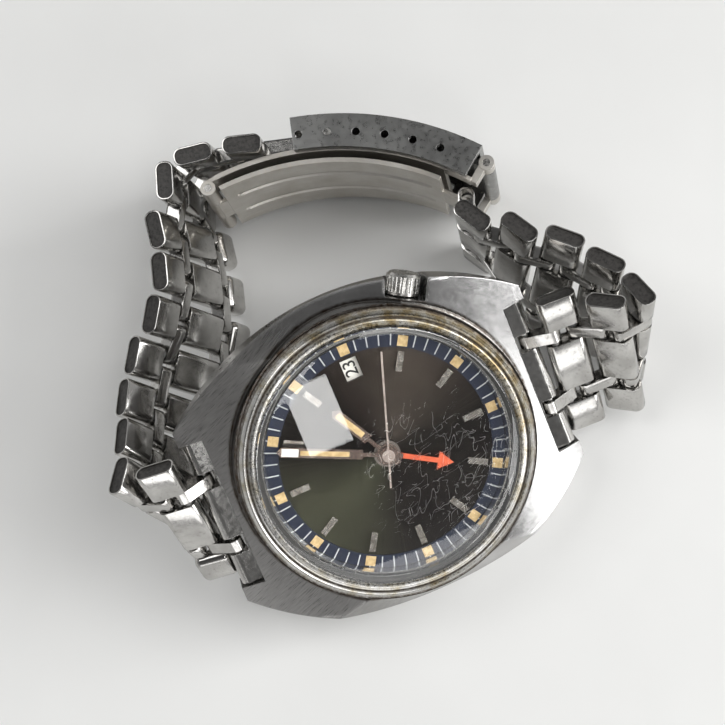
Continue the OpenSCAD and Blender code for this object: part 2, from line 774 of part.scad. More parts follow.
// Bracelet
module stadium(r, l) {
  union() {
    circle(r = r);
    translate([0, -r]) square([l, 2 * r]);
    translate([l, 0]) circle(r = r);
  }
}

// a slice of the stadium profile, from x0 to x1, that runs from y = 0 along s * y
module profile(r, l, x0, x1, s) {
  translate([x0, 0, 0]) rotate([90, 0, 90]) linear_extrude(x1 - x0) mirror([s > 0 ? 0 : 1, 0])
    stadium(r, l);
}

module row(s, i) {
  r = block_t / 2;
  half = strap_w / 2;
  centre = half - outer_w - slot_w;
  multmatrix(out_pin(s, i)) difference() {
    union() {
      profile(r, row_step, -half, -half + outer_w, -s);
      profile(r, row_step, -centre, centre, -s);
      profile(r, row_step, half - outer_w, half, -s);
      for (y = [0, -s * row_step]) translate([0, y, 0]) rod(pin_r, 2 * half - 1);
    }
    for (e = [-1, 1]) profile(r - cap_rim, row_step, e > 0 ? half - cap_recess : -half - 1,
      e > 0 ? half + 1 : -half + cap_recess, -s);
  }
}

// two connector bars with worn eyes, from the pin of one piece to the pin of the next
module bars(m1, m2, l) {
  for (e = [-1, 1]) multmatrix(between(m1, m2, e * bar_at)) translate([0, -l / 2, 0]) difference() {
    profile(bar_t / 2, l, -bar_w / 2, bar_w / 2, 1);
    for (y = [0, l]) translate([0, y, 0]) rod(pin_r + worn_gap, bar_w + 1);
  }
}

// what the bars of row i hold on to
function next_pin(s, i) = s > 0 && i == 11 ? spring_bar_frame
  : s < 0 && i == 7 ? end_tube_frame : in_pin(s, i + 1);

module link(s, i) {
  color("silver") {
    row(s, i);
    bars(out_pin(s, i), next_pin(s, i), s > 0 && i == 11 ? clasp_bar_step : bar_step);
  }
}

module end_link(s) {
  r = block_t / 2;
  half = strap_w / 2;
  centre = half - outer_w - slot_w;
  back = end_pin_y - lug_wall - 0.05;
  difference() {
    union() {
      multmatrix(lug_frame(s)) intersection() {
        profile(r, 3, -half, half, -s);
        translate([-half, s > 0 ? -back : -far, -far]) cube([strap_w, back + far, 2 * far]);
      }
    }
    multmatrix(lug_frame(s)) {
      for (e = [-1, 1])
        translate([e * (centre + slot_w / 2) - slot_w / 2, s > 0 ? -1.25 : 1.25 - far, -far])
          cube([slot_w, far, 2 * far]);
      rod(pin_r + set_gap, 2 * strap_w);
    }
  }
}

module end_links() {
  color("silver") for (s = [-1, 1]) {
    end_link(s);
    bars(lug_frame(s), in_pin(s, 1), bar_step);
  }
}

module lug_spring_bars() {
  color("gray") for (s = [-1, 1]) multmatrix(lug_frame(s)) rod(pin_r, lug_gap + 2);
}

// Clasp
module arc_sweep(a0, a1) {
  rotate([0, -90, 0]) rotate([180, 0, 0]) rotate([0, 0, a0])
    rotate_extrude(angle = a1 - a0, $fn = 200) children();
}

module arc_plate(r, t, x0, x1, a0, a1) {
  arc_sweep(a0, a1) translate([r, x0]) square([t, x1 - x0]);
}

module arc_rod(a, at, r, x0, x1) {
  translate(arc_point(a, at)) translate([(x0 + x1) / 2, 0, 0]) rod(r, x1 - x0);
}

module clasp_cover() {
  w = cover_half_w;
  a0 = cover_ends[0];
  a1 = cover_ends[1];
  top = hole_line_r + cover_up;
  low = hole_line_r - cover_down;
  color("silver") multmatrix(clasp_frame) difference() {
    union() {
      arc_sweep(a0, a1) difference() {
        translate([low, -w]) square([top - low, 2 * w]);
        translate([low - 1, -w + cover_wall]) square([top - low + 1 - cover_wall, 2 * (w - cover_wall)]);
      }
      arc_plate(cover_hinge_at - 0.3, top - 0.2 - cover_hinge_at, lap - cover_knuckle, cover_knuckle - lap,
        cover_hinge_angle + 0.2, a0 + 1);
      arc_rod(cover_hinge_angle, cover_hinge_at, tube_r, -cover_knuckle, cover_knuckle);
    }
    for (i = [0 : hole_count - 1]) arc_rod(bar_angle + (bar_hole - 1 - i) * hole_angle_step, hole_line_r,
      0.5, -w - 1, w + 1);
    arc_rod(cover_hinge_angle, cover_hinge_at, pin_r + run_gap, -w, w);
  }
}

module upper_leaf() {
  w = leaf_w / 2;
  leg = cover_knuckle + 0.2;
  notch_end = end_tube_angle + leaf_from;
  color("lightgray") multmatrix(clasp_frame) difference() {
    union() {
      arc_plate(upper_leaf_r, leaf_t, -w, w, notch_end, leaf_hinge_angle - leaf_edge);
      for (e = [0, 1]) mirror([e, 0, 0]) {
        arc_plate(upper_leaf_r + lap, leaf_t - 2 * lap, leg + lap, w - lap, cover_hinge_angle + 1,
          notch_end + 1);
        arc_plate(upper_leaf_r + 2 * lap, cover_hinge_at - upper_leaf_r, leg + 2 * lap, w - 2 * lap,
          cover_hinge_angle - 0.4, cover_hinge_angle + 1.1);
        arc_rod(cover_hinge_angle, cover_hinge_at, tube_r, leg, w);
        arc_plate(upper_leaf_r + lap, leaf_t - 2 * lap, leaf_knuckle + lap, w - lap,
          leaf_hinge_angle - leaf_edge - 0.5, leaf_hinge_angle);
        arc_rod(leaf_hinge_angle, leaf_hinge_at, tube_r, leaf_knuckle, w);
      }
    }
    arc_rod(leaf_hinge_angle, leaf_hinge_at, pin_r + set_gap, -w - 1, w + 1);
    arc_rod(cover_hinge_angle, cover_hinge_at, pin_r + set_gap, -w - 1, w + 1);
  }
}

module lower_leaf() {
  w = leaf_w / 2;
  middle = leaf_knuckle - knuckle_gap;
  color("lightgray") multmatrix(clasp_frame) difference() {
    union() {
      arc_plate(lower_leaf_r, leaf_t, -w, w, end_tube_angle + leaf_from, leaf_hinge_angle - leaf_edge);
      arc_plate(lower_leaf_r + lap, leaf_t - 2 * lap, lap - middle, middle - lap,
        leaf_hinge_angle - leaf_edge - 0.5, leaf_hinge_angle);
      arc_rod(leaf_hinge_angle, leaf_hinge_at, tube_r, -middle, middle);
      arc_plate(lower_leaf_r + lap, leaf_t - 2 * lap, lap - end_tube_half, end_tube_half - lap,
        end_tube_angle, end_tube_angle + leaf_from + 0.5);
      arc_rod(end_tube_angle, end_tube_at, tube_r - 0.1, -end_tube_half, end_tube_half);
    }
    arc_rod(leaf_hinge_angle, leaf_hinge_at, pin_r + run_gap, -w - 1, w + 1);
    arc_rod(end_tube_angle, end_tube_at, pin_r + set_gap, -w - 1, w + 1);
  }
}

// spring bar in the cover and the pin of the hinge between the cover and the upper leaf
module clasp_bars() {
  color("gray") multmatrix(clasp_frame) {
    arc_rod(bar_angle, hole_line_r, pin_r, -cover_half_w, cover_half_w);
    arc_rod(cover_hinge_angle, cover_hinge_at, pin_r, -leaf_w / 2, leaf_w / 2);
  }
}

module leaf_pin() {
  color("gray") multmatrix(clasp_frame) {
    arc_rod(leaf_hinge_angle, leaf_hinge_at, pin_r, -leaf_w / 2, leaf_w / 2);
  }
}

case_body();
crystal_ring();
crystal();
crystal_gasket();
bright_ring();
case_back();
case_back_gasket();
crown_tube();
crown_gasket();
crown();
stem();
dial();
minute_ring();
lume_plots();
hour_markers();
hour_hand();
minute_hand();
second_hand();
day_hand();
date_disc();
movement_ring();
main_plate();
train_bridge();
barrel();
centre_wheel();
third_wheel();
fourth_wheel();
escape_wheel();
pallet_fork();
balance_wheel();
hairspring();
balance_cock();
rotor();
rotor_bearing();
bridge_screws();
end_links();
lug_spring_bars();
link(1, 1);  // link_a1
link(1, 2);  // link_a2
link(1, 3);  // link_a3
link(1, 4);  // link_a4
link(1, 5);  // link_a5
link(1, 6);  // link_a6
link(1, 7);  // link_a7
link(1, 8);  // link_a8
link(1, 9);  // link_a9
link(1, 10);  // link_a10
link(1, 11);  // link_a11
link(-1, 1);  // link_b1
link(-1, 2);  // link_b2
link(-1, 3);  // link_b3
link(-1, 4);  // link_b4
link(-1, 5);  // link_b5
link(-1, 6);  // link_b6
link(-1, 7);  // link_b7
clasp_cover();
upper_leaf();
lower_leaf();
clasp_bars();
leaf_pin();
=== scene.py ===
import math

import bpy
from mathutils import Matrix, Vector


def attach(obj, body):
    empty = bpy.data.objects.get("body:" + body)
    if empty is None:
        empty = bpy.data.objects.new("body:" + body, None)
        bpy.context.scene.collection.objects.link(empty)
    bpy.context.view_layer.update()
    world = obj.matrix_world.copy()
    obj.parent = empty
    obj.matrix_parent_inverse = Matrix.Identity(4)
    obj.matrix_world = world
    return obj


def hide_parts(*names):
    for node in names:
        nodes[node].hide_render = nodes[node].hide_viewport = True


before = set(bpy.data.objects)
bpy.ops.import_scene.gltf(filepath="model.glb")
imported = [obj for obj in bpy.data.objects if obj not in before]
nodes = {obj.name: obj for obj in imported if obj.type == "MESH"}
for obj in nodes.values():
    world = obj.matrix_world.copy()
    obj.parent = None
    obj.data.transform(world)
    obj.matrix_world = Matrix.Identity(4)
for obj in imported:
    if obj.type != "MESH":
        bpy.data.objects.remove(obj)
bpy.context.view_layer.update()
MM = 0.001

# Camera
# The photograph looks almost straight down from about 26 cm, a little from the right and the front.
# A long lens keeps the proportions of the case and the bracelet.
camera_at = Vector((31.14, -45.51, 249.66)) * MM
camera_looks = Vector((-0.1396, 0.1884, -0.9721)).normalized()
camera_up = (-camera_looks).cross(Vector((0.9898, 0, -0.1421))).normalized()
camera_right = camera_up.cross(-camera_looks)
camera_data = bpy.data.cameras.new("camera")
camera_data.sensor_width = 36
camera_data.lens = 99.3
camera_data.clip_start, camera_data.clip_end = 0.01, 5
camera = bpy.data.objects.new("camera", camera_data)
bpy.context.scene.collection.objects.link(camera)
camera.matrix_world = Matrix.Translation(camera_at) @ Matrix((camera_right, camera_up,
                                                              -camera_looks)).transposed().to_4x4()
bpy.context.scene.camera = camera


# Case
# A barrel-shaped steel body, turned and milled from one block, with a turned wall round the ring.
# Its flanks are brushed on the 12 o'clock side and polished on the other, both finely scratched.
def shift(x, y, z):
    return Matrix.Translation(Vector((x, y, z)) * MM)


def turned(letter, degrees):
    return Matrix.Rotation(math.radians(degrees), 4, letter)


# The watch's own axes as it lies: x to 3 o'clock, y to 12 o'clock, z up from the dial.
watch = shift(0.55, -11.23, 17.22) @ turned("Z", 110.5) @ turned("Y", -29) @ turned("X", 6.5)


def new_material(name):
    m = bpy.data.materials.new(name)
    m.use_nodes = True
    return m, m.node_tree, m.node_tree.nodes["Principled BSDF"]


def coordinates(tree, place=Matrix.Identity(4), stretch=(1, 1, 1)):
    """Where a point lies as seen from a place on the watch, with each direction divided by its stretch."""
    co = tree.nodes.new("ShaderNodeTexCoord")
    mapping = tree.nodes.new("ShaderNodeMapping")
    mapping.vector_type = "TEXTURE"
    mapping.inputs["Location"].default_value = place.to_translation()
    mapping.inputs["Rotation"].default_value = place.to_euler("XYZ")
    mapping.inputs["Scale"].default_value = stretch
    tree.links.new(co.outputs["Object"], mapping.inputs["Vector"])
    return mapping.outputs["Vector"]


def noise(tree, where, scale, detail=4, rough=0.55):
    n = tree.nodes.new("ShaderNodeTexNoise")
    n.inputs["Scale"].default_value = scale
    n.inputs["Detail"].default_value = detail
    n.inputs["Roughness"].default_value = rough
    tree.links.new(where, n.inputs["Vector"])
    return n.outputs["Fac"]


def ramp(tree, value, *stops):
    r = tree.nodes.new("ShaderNodeValToRGB")
    e = r.color_ramp.elements
    while len(e) < len(stops):
        e.new(0.5)
    for i, (p, c) in enumerate(stops):
        e[i].position = p
        e[i].color = (c, c, c, 1) if isinstance(c, (int, float)) else (*c, 1)
    tree.links.new(value, r.inputs["Fac"])
    return r.outputs["Color"]


def maths(tree, kind, a, b=None, c=None):
    n = tree.nodes.new("ShaderNodeMath")
    n.operation = kind
    for i, v in enumerate((a, b, c)):
        if isinstance(v, (int, float)):
            n.inputs[i].default_value = v
        elif v is not None:
            tree.links.new(v, n.inputs[i])
    return n.outputs[0]


def mixed(tree, share, a, b):
    n = tree.nodes.new("ShaderNodeMix")
    n.data_type = "RGBA"
    if isinstance(share, (int, float)):
        n.inputs[0].default_value = share
    else:
        tree.links.new(share, n.inputs[0])
    for socket, v in ((n.inputs[6], a), (n.inputs[7], b)):
        if isinstance(v, tuple):
            socket.default_value = (*v, 1)
        else:
            tree.links.new(v, socket)
    return n.outputs[2]


def bump(tree, height, strength, distance, normal=None):
    b = tree.nodes.new("ShaderNodeBump")
    b.inputs["Strength"].default_value = strength
    b.inputs["Distance"].default_value = distance
    tree.links.new(height, b.inputs["Height"])
    if normal:
        tree.links.new(normal, b.inputs["Normal"])
    return b.outputs["Normal"]


def soft_edges(tree, radius):
    b = tree.nodes.new("ShaderNodeBevel")
    b.samples = 4
    b.inputs["Radius"].default_value = radius
    return b.outputs["Normal"]


def split(tree, vector):
    s = tree.nodes.new("ShaderNodeSeparateXYZ")
    tree.links.new(vector, s.inputs[0])
    return s.outputs


def from_axis(tree, where):
    """Distance from the watch's axis, and the angle about it."""
    x, y, z = split(tree, where)
    r = maths(tree, "SQRT", maths(tree, "ADD", maths(tree, "MULTIPLY", x, x),
                                  maths(tree, "MULTIPLY", y, y)))
    return r, maths(tree, "ARCTAN2", y, x), z


def dress(o, m):
    o.data.materials.clear()
    o.data.materials.append(m)


wall_r, wall_foot_r = 18.1, 18.42
case_steel, t, p = new_material("case_steel")
at = coordinates(t, watch)
r, around, up = from_axis(t, at)
grain = noise(t, coordinates(t, watch @ turned("Z", 25), (0.2, 5, 5)), 3 / MM, 5)
cloud = noise(t, at, 0.2 / MM, 4)
speck = noise(t, at, 1.6 / MM, 8, 0.7)
x, y, z = split(t, at)
across = maths(t, "MULTIPLY_ADD", y, -0.5 / (22 * MM), 0.5)
polished = ramp(t, maths(t, "ADD", across, maths(t, "MULTIPLY", cloud, 0.12)), (0.36, 0), (0.62, 1))
wall = ramp(t, maths(t, "MULTIPLY", maths(t, "SUBTRACT", r, wall_r * MM), 1 / MM), (0.3, 1), (0.42, 0))
smooth = maths(t, "MAXIMUM", polished, wall)
brushed_tint = mixed(t, ramp(t, grain, (0.35, 0), (0.65, 0.6)), (0.25, 0.245, 0.24), (0.42, 0.41, 0.395))
tint = mixed(t, polished, brushed_tint, ramp(t, cloud, (0.35, (0.46, 0.455, 0.45)),
                                             (0.65, (0.58, 0.575, 0.57))))
tint = mixed(t, wall, tint, (0.24, 0.235, 0.225))
foot = ramp(t, maths(t, "MULTIPLY", maths(t, "ABSOLUTE", maths(t, "SUBTRACT", r, wall_foot_r * MM)), 1 / MM),
            (0.05, 1), (0.3, 0))
top = ramp(t, maths(t, "MULTIPLY", maths(t, "SUBTRACT", up, 0.7 * MM), 1 / MM), (0.1, 0), (0.5, 1))
dirt = maths(t, "MULTIPLY", maths(t, "MAXIMUM", foot, top), ramp(t, speck, (0.4, 0.35), (0.6, 1)))
t.links.new(mixed(t, dirt, tint, (0.05, 0.032, 0.02)), p.inputs["Base Color"])
p.inputs["Metallic"].default_value = 1
t.links.new(mixed(t, smooth, ramp(t, grain, (0.3, 0.26), (0.7, 0.34)),
                  ramp(t, speck, (0.35, 0.15), (0.7, 0.22))), p.inputs["Roughness"])
scratches = noise(t, coordinates(t, watch @ turned("Z", 35), (0.3, 12, 12)), 5 / MM, 3)
flank = maths(t, "MULTIPLY", ramp(t, maths(t, "MULTIPLY", r, 0.04 / MM), (0.745, 0), (0.765, 1)),
              ramp(t, maths(t, "MULTIPLY", maths(t, "ABSOLUTE", y), 0.04 / MM), (0.5, 1), (0.6, 0)))
n = bump(t, grain, 0.14, 0.01 * MM, mixed(t, flank, soft_edges(t, 0.12 * MM), soft_edges(t, 0.7 * MM)))
t.links.new(bump(t, scratches, 0.12, 0.01 * MM, n), p.inputs["Normal"])
dress(nodes["case_body"], case_steel)

# Crystal ring
# The ring that holds the crystal: turned steel with a groove in its top and a bevel outside. Its
# plating has worn to a brownish yellow and old dirt sits in the groove.
ring_outline = ((15.75, 2.0), (15.75, 2.4), (15.86, 2.5), (16.42, 2.5), (16.55, 2.42), (16.64, 2.2),
                (16.78, 2.15), (16.88, 2.32), (17.05, 2.4), (17.3, 2.2), (17.55, 1.8), (17.78, 1.72),
                (17.8, 1.65), (17.8, 1.24), (16.66, 1.24), (16.66, 1.97))


def clear_selection():
    for o in bpy.context.selected_objects:
        o.select_set(False)


def spun(name, outline, steps=192):
    """A ring turned on a lathe: a closed outline, in mm from the axis and up from the dial, spun round."""
    bpy.ops.mesh.primitive_circle_add(vertices=len(outline), fill_type="NOTHING")
    o = bpy.context.object
    o.name = name
    for v, (a, b) in zip(o.data.vertices, outline):
        v.co = (a * MM, 0, b * MM)
    bpy.ops.object.mode_set(mode="EDIT")
    bpy.ops.mesh.select_all(action="SELECT")
    bpy.ops.mesh.spin(steps=steps, angle=2 * math.pi, center=(0, 0, 0), axis=(0, 0, 1))
    bpy.ops.mesh.select_all(action="SELECT")
    bpy.ops.mesh.remove_doubles(threshold=1e-7)
    bpy.ops.mesh.normals_make_consistent(inside=False)
    bpy.ops.object.mode_set(mode="OBJECT")
    return o


def place(o, matrix, m, body, *stands_for, angle=35):
    """Puts a finished piece in its place, in its mesh, smooths its soft edges and hands it to its body."""
    o.matrix_world = matrix @ o.matrix_world
    clear_selection()
    o.select_set(True)
    bpy.context.view_layer.objects.active = o
    bpy.ops.object.transform_apply(location=True, rotation=True, scale=True)
    if angle:
        bpy.ops.object.shade_smooth_by_angle(angle=math.radians(angle))
    if m:
        dress(o, m)
    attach(o, body)
    if stands_for:
        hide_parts(*stands_for)
    o.select_set(False)
    return o


clear_selection()
groove_r, bevel_r = 16.72, 17.5
ring_steel, t, p = new_material("worn_ring")
at = coordinates(t, watch)
r, around, up = from_axis(t, at)
patch = noise(t, at, 0.45 / MM, 6, 0.65)
fine = noise(t, at, 2.5 / MM, 8, 0.7)
turning = t.nodes.new("ShaderNodeCombineXYZ")
t.links.new(r, turning.inputs[0])
t.links.new(up, turning.inputs[2])
lathe = noise(t, turning.outputs[0], 5 / MM, 3)
bronze_side = ramp(t, maths(t, "COSINE", maths(t, "ADD", around, math.radians(50))), (0.2, 0), (0.9, 0.16))
plating = ramp(t, maths(t, "ADD", patch, bronze_side), (0.46, (0.6, 0.59, 0.57)), (0.6, (0.46, 0.43, 0.36)),
               (0.72, (0.3, 0.235, 0.13)))
turns = maths(t, "FRACT", maths(t, "MULTIPLY", r, 2.3 / MM))
line = ramp(t, maths(t, "ABSOLUTE", maths(t, "SUBTRACT", turns, 0.5)), (0.04, 0.75), (0.14, 0))
plating = mixed(t, line, plating, (0.07, 0.06, 0.05))
groove = ramp(t, maths(t, "MULTIPLY", maths(t, "ABSOLUTE", maths(t, "SUBTRACT", r, groove_r * MM)),
                       1 / (0.3 * MM)), (0.25, 1), (0.8, 0))
foot = ramp(t, maths(t, "MULTIPLY", maths(t, "SUBTRACT", r, bevel_r * MM), 1 / (0.3 * MM)),
            (0.1, 0), (0.7, 1))
dirt = maths(t, "MULTIPLY", maths(t, "MAXIMUM", groove, foot), ramp(t, fine, (0.35, 0.45), (0.55, 1)))
t.links.new(mixed(t, dirt, plating, (0.045, 0.03, 0.018)), p.inputs["Base Color"])
t.links.new(maths(t, "SUBTRACT", 1, maths(t, "MULTIPLY", dirt, 0.8)), p.inputs["Metallic"])
t.links.new(mixed(t, dirt, ramp(t, fine, (0.3, 0.16), (0.7, 0.4)), (0.75, 0.75, 0.75)),
            p.inputs["Roughness"])
t.links.new(bump(t, lathe, 0.3, 0.03 * MM, bump(t, fine, 0.08, 0.01 * MM)), p.inputs["Normal"])
place(spun("crystal_ring_turned", ring_outline), watch, ring_steel, "case", "crystal_ring")

# Crystal
# A one-piece domed acrylic crystal with an upright wall. Wear has left a patch of short scratches on
# the 6 o'clock side of the middle, and they catch the light as thin white lines.
crystal_r, crystal_edge, crystal_top, crystal_wall = 15.7, 2.9, 4.2, 1.0
dome_r = (crystal_r ** 2 + (crystal_top - crystal_edge) ** 2) / (2 * (crystal_top - crystal_edge))


def dome(r, low):
    return crystal_top - low - dome_r + math.sqrt(dome_r ** 2 - r ** 2)


outer = [(crystal_r * i / 24, dome(crystal_r * i / 24, 0)) for i in range(24)]
shoulder = [(crystal_r - 0.5 + 0.5 * math.sin(math.radians(a)),
             crystal_edge - 0.5 + 0.55 * math.cos(math.radians(a))) for a in (10, 30, 50, 70, 90)]
inner_r = crystal_r - crystal_wall
inner = [(inner_r * i / 20, dome(inner_r * i / 20, crystal_wall)) for i in range(20, -1, -1)]
crystal_outline = outer[:-1] + shoulder + [(crystal_r, 1.16), (inner_r, 1.16)] + inner
acrylic, t, p = new_material("scratched_acrylic")
at = coordinates(t, watch)
p.inputs["Transmission Weight"].default_value = 1
p.inputs["IOR"].default_value = 1.49
p.inputs["Base Color"].default_value = (0.97, 0.965, 0.94, 1)


def hairlines(tree, angle, size, width, share):
    """Short curved scratches: thin contour lines of a stretched cloud, broken up by another cloud."""
    place_of = coordinates(tree, watch @ turned("Z", angle), (1, 3, 3))
    level = maths(tree, "ABSOLUTE", maths(tree, "SUBTRACT", noise(tree, place_of, size / MM, 1), 0.5))
    kept = ramp(tree, noise(tree, place_of, 1.7 * size / MM, 2), (share, 0), (share + 0.03, 1))
    return maths(tree, "MULTIPLY", ramp(tree, level, (0.0, 1), (width, 0)), kept)


crack = maths(t, "MAXIMUM", hairlines(t, 65, 0.5, 0.007, 0.47), hairlines(t, 10, 0.7, 0.008, 0.5))
from_worn, _, _ = from_axis(t, coordinates(t, watch @ shift(-1.5, -4.5, 0)))
spread = maths(t, "MULTIPLY_ADD", noise(t, at, 0.15 / MM, 2), 0.7,
               maths(t, "MULTIPLY", from_worn, 0.05 / MM))
worn_area = ramp(t, spread, (0.68, 1), (0.86, 0))
scratch = maths(t, "MULTIPLY", crack, worn_area)
t.links.new(maths(t, "MULTIPLY_ADD", scratch, 0.4, 0.015), p.inputs["Roughness"])
t.links.new(bump(t, scratch, 0.5, 0.02 * MM), p.inputs["Normal"])
clear_for_lamps = t.nodes.new("ShaderNodeBsdfTransparent")
light_path = t.nodes.new("ShaderNodeLightPath")
mix = t.nodes.new("ShaderNodeMixShader")
t.links.new(light_path.outputs["Is Shadow Ray"], mix.inputs["Fac"])
t.links.new(p.outputs["BSDF"], mix.inputs[1])
t.links.new(clear_for_lamps.outputs["BSDF"], mix.inputs[2])
t.links.new(mix.outputs["Shader"], t.nodes["Material Output"].inputs["Surface"])
place(spun("crystal_domed", crystal_outline), watch, acrylic, "case", "crystal")

# Seals and the bright ring under the crystal
# Black rubber seals under the crystal, in the case back and in the crown, and the mirror-bright
# ring between the crystal and the dial.
def flecked(name, size, low, high, rough, detail=4, metallic=0):
    """A material whose colour wanders a little between two tones, with one roughness."""
    m, tree, shader = new_material(name)
    cloud = noise(tree, coordinates(tree), size / MM, detail)
    tree.links.new(ramp(tree, cloud, (0.3, low), (0.7, high)), shader.inputs["Base Color"])
    shader.inputs["Metallic"].default_value = metallic
    shader.inputs["Roughness"].default_value = rough
    return m, tree, shader


rubber, t, p = flecked("black_rubber", 1.5, 0.012, 0.03, 0.6)
for name in ("crystal_gasket", "case_back_gasket", "crown_gasket"):
    dress(nodes[name], rubber)
mirror_bright, t, p = flecked("mirror_bright", 0.8, 0.62, 0.85, 0.16, detail=6, metallic=1)
dress(nodes["bright_ring"], mirror_bright)

# Dial
# A thin brass dial in charcoal lacquer with a fine sunburst, browned by age, and round it a navy
# ring with white minute strokes. A tan plot marks each hour, and a steel baton each but three o'clock.
charcoal, t, p = new_material("charcoal_sunburst")
at = coordinates(t, watch)
r, around, up = from_axis(t, at)
turn_vector = t.nodes.new("ShaderNodeCombineXYZ")
t.links.new(maths(t, "MULTIPLY", around, 9), turn_vector.inputs[0])
rays = noise(t, turn_vector.outputs[0], 5, 3)
age = noise(t, at, 0.09 / MM, 3)
# The lacquer is painted lighter in two opposite wedges, grey-brown on one side and olive on the other: a
# painted sheen of the sunburst.
brown_sheen = ramp(t, maths(t, "COSINE", maths(t, "ADD", around, math.radians(32))), (0.55, 0), (0.98, 1))
green_sheen = ramp(t, maths(t, "COSINE", maths(t, "SUBTRACT", around, math.radians(118))), (0.6, 0),
                  (0.98, 1))
lacquer = mixed(t, green_sheen, mixed(t, brown_sheen, (0.011, 0.008, 0.0075), (0.05, 0.039, 0.033)),
                (0.054, 0.056, 0.036))
t.links.new(mixed(t, ramp(t, rays, (0.35, 0), (0.75, 0.35)), lacquer,
                  mixed(t, ramp(t, age, (0.4, 0), (0.6, 1)), (0.024, 0.016, 0.014),
                        (0.1, 0.092, 0.072))), p.inputs["Base Color"])
p.inputs["Metallic"].default_value = 0.85
p.inputs["Roughness"].default_value = 0.3
p.inputs["Anisotropic"].default_value = 0.8
outward = t.nodes.new("ShaderNodeVectorMath")
outward.operation = "CROSS_PRODUCT"
away = t.nodes.new("ShaderNodeVectorMath")
away.operation = "SUBTRACT"
away.inputs[1].default_value = watch.to_translation()
own_point = t.nodes.new("ShaderNodeTexCoord")
t.links.new(own_point.outputs["Object"], away.inputs[0])
t.links.new(away.outputs[0], outward.inputs[0])
outward.inputs[1].default_value = watch.to_3x3() @ Vector((0, 0, 1))
t.links.new(outward.outputs[0], p.inputs["Tangent"])
dress(nodes["dial"], charcoal)

navy, t, p = new_material("navy_with_strokes")
r, around, up = from_axis(t, coordinates(t, watch))
minute = maths(t, "FRACT", maths(t, "MULTIPLY_ADD", around, 60 / (2 * math.pi), 60.5))
off = maths(t, "MULTIPLY", maths(t, "ABSOLUTE", maths(t, "SUBTRACT", minute, 0.5)),
            maths(t, "MULTIPLY", r, math.radians(6) / MM))
stroke = maths(t, "MULTIPLY", ramp(t, off, (0.05, 1), (0.09, 0)),
               ramp(t, maths(t, "MULTIPLY", r, 0.06 / MM), (12.9 * 0.06, 0), (12.98 * 0.06, 1)))
t.links.new(mixed(t, stroke, (0.006, 0.011, 0.03), (0.5, 0.52, 0.53)), p.inputs["Base Color"])
p.inputs["Roughness"].default_value = 0.3
dress(nodes["minute_ring"], navy)

lume, t, p = flecked("aged_lume", 2, (0.4, 0.27, 0.11), (0.66, 0.5, 0.27), 0.7, detail=5)
dress(nodes["lume_plots"], lume)
baton_steel, t, p = flecked("baton_steel", 1.2, (0.4, 0.36, 0.32), (0.8, 0.77, 0.73), 0.22, detail=5,
                            metallic=1)
t.links.new(soft_edges(t, 0.05 * MM), p.inputs["Normal"])
dress(nodes["hour_markers"], baton_steel)

# Date
# A white date disc turns under the dial. The black figures of the day show in a plain window, cut
# through the dial at three o'clock.
date_white, t, p = flecked("date_white", 1, (0.78, 0.77, 0.72), (0.88, 0.87, 0.84), 0.5)
dress(nodes["date_disc"], date_white)
figure_black, t, p = flecked("figure_black", 2, 0.008, 0.02, 0.5)
bpy.ops.object.text_add()
figures = bpy.context.object
figures.name = "date_figures"
figures.data.body = "23"
figures.data.align_x, figures.data.align_y = "CENTER", "CENTER"
figures.data.size = 2.15 * MM
figures.data.space_character = 0.92
figures.data.extrude = 0.01 * MM
figures.data.offset = 0.015 * MM
bpy.ops.object.convert(target="MESH")
place(figures, watch @ shift(11, 0, -0.47), figure_black, "date_disc", angle=0)

# Hands
# Polished steel hour and minute hands with tan luminous paint in a long slot, the minute hand with a
# white tip, a thin pale seconds hand, and an orange-red hand with an arrow head that goes round once
# a day.
# The hand steel is tinted reddish brown: a painted reflection.
hand_steel, t, p = flecked("hand_steel", 1, (0.3, 0.2, 0.17), (0.6, 0.5, 0.45), 0.2, detail=5, metallic=1)
dress(nodes["hour_hand"], hand_steel)
dress(nodes["minute_hand"], hand_steel)
orange, t, p = new_material("orange_lacquer")
r, around, up = from_axis(t, coordinates(t, watch))
hub = ramp(t, maths(t, "MULTIPLY", r, 0.1 / MM), (0.16, 1), (0.17, 0))
paint = ramp(t, noise(t, coordinates(t), 1 / MM), (0.3, (0.5, 0.075, 0.03)), (0.7, (0.68, 0.12, 0.045)))
t.links.new(mixed(t, hub, paint, (0.3, 0.27, 0.25)), p.inputs["Base Color"])
t.links.new(hub, p.inputs["Metallic"])
p.inputs["Roughness"].default_value = 0.35
dress(nodes["day_hand"], orange)
pale, t, p = flecked("pale_lacquer", 1, (0.26, 0.21, 0.19), (0.44, 0.38, 0.35), 0.35)
dress(nodes["second_hand"], pale)


def inlay(name, angle, width, start, end, height, m, body):
    bpy.ops.mesh.primitive_cube_add(size=1, location=(0, (start + end) / 2 * MM, height * MM))
    o = bpy.context.object
    o.name = name
    o.scale = (width * MM, (end - start) * MM, 0.07 * MM)
    bpy.ops.object.transform_apply(location=True, rotation=True, scale=True)
    b = o.modifiers.new("soft", "BEVEL")
    b.width, b.segments = 0.03 * MM, 3
    bpy.ops.object.modifier_apply(modifier="soft")
    return place(o, watch @ turned("Z", -angle), m, body)


clear_selection()
white_paint, t, p = flecked("white_paint", 1, (0.74, 0.73, 0.7), (0.88, 0.87, 0.85), 0.45)
inlay("hour_lume", 62, 0.72, 3.8, 7.8, 1.1, lume, "hour_hand")
inlay("minute_lume", 26, 0.6, 4.6, 10.4, 1.45, lume, "minute_train")
inlay("minute_white", 26, 0.95, 10.6, 12.6, 1.45, white_paint, "minute_train")

